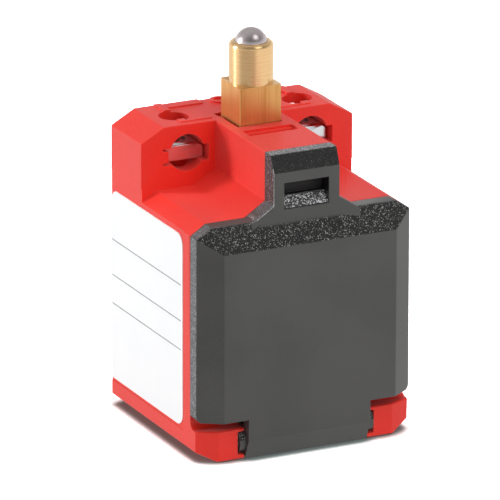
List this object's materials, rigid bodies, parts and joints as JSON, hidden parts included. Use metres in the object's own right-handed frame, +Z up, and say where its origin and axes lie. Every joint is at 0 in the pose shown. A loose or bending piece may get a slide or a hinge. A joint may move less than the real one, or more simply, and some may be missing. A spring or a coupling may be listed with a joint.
{
  "type": "limit switch",
  "caption": "Compact moulded limit switch with a square brass plunger carrying a steel ball, a hinged snap cover over screw terminals, and a head with captive square nuts.",
  "frame": {"origin": "middle of the base rectangle, on the flat the switch stands on", "axes": "+Z up along the plunger, -Y out of the hinged front cover, +Y towards the flat back, +X across the switch"},
  "size_m": [0.042, 0.0382, 0.0721],
  "materials": {
    "red_polyamide": "moulded glass-filled polyamide, satin with fine grain",
    "grey_polyamide": "moulded glass-filled polyamide, fine satin, coarse spark-eroded bands",
    "black_rubber": "matt nitrile rubber",
    "label_film": "white film with thin grey rules",
    "zinc_plated_steel": "bright zinc plate",
    "brass": "drawn bar, lengthwise brushed",
    "ball_steel": "polished bearing steel",
    "cream_polyamide": "natural polyamide",
    "bronze_strip": "stamped bronze strip",
    "silver": "silver alloy contact face",
    "spring_steel": "bright spring wire",
    "black_thermoset": "matt moulded thermoset"
  },
  "bodies": {
    "housing": {"block_screws": "zinc_plated_steel", "clamp_plates": "zinc_plated_steel", "contact_block": "black_thermoset", "contact_block_back": "black_thermoset", "fixed_contact_tips": "silver", "housing": "red_polyamide", "mounting_nuts": "zinc_plated_steel", "plunger_seal": "black_rubber", "return_spring": "spring_steel", "side_label": "label_film", "terminal_nc_left": "brass", "terminal_nc_right": "brass", "terminal_no_left": "brass", "terminal_no_right": "brass", "terminal_screws": "zinc_plated_steel"},
    "plunger_slide": {"plunger": "brass", "plunger_clip": "zinc_plated_steel", "contact_carrier": "cream_polyamide", "nc_contact_spring": "spring_steel", "no_contact_spring": "spring_steel"},
    "ball": {"plunger_ball": "ball_steel"},
    "nc_bridge": {"nc_bridge": "bronze_strip", "nc_bridge_tips": "silver"},
    "no_bridge": {"no_bridge": "bronze_strip", "no_bridge_tips": "silver"},
    "front_cover": {"cover": "grey_polyamide", "cover_gasket": "black_rubber"}
  },
  "joints": [
    {"name": "plunger_press", "type": "slide", "parent": "housing", "child": "plunger_slide", "axis": [0, 0, -1], "range_m": [0, 0.005], "stiffness_N_per_m": 1800, "springref_m": -0.003, "deforming": ["return_spring"]},
    {"name": "ball_roll", "type": "hinge", "parent": "plunger_slide", "child": "ball", "pos_m": [0, 0.00512, 0.0691], "axis": [1, 0, 0], "continuous": true},
    {"name": "nc_bridge_travel", "type": "slide", "parent": "housing", "child": "nc_bridge", "axis": [0, 0, -1], "range_m": [0, 0.0035], "deforming": ["nc_contact_spring"]},
    {"name": "no_bridge_travel", "type": "slide", "parent": "housing", "child": "no_bridge", "axis": [0, 0, -1], "range_m": [0, 0.003], "deforming": ["no_contact_spring"]},
    {"name": "cover_hinge", "type": "hinge", "parent": "housing", "child": "front_cover", "pos_m": [0, -0.01595, 0.0031], "axis": [1, 0, 0], "range_deg": [0, 85]}
  ],
  "couplings": [
    {"joint": "nc_bridge_travel", "follows": "plunger_press", "ratio": 0.7},
    {"joint": "no_bridge_travel", "follows": "plunger_press", "ratio": 0.6}
  ]
}
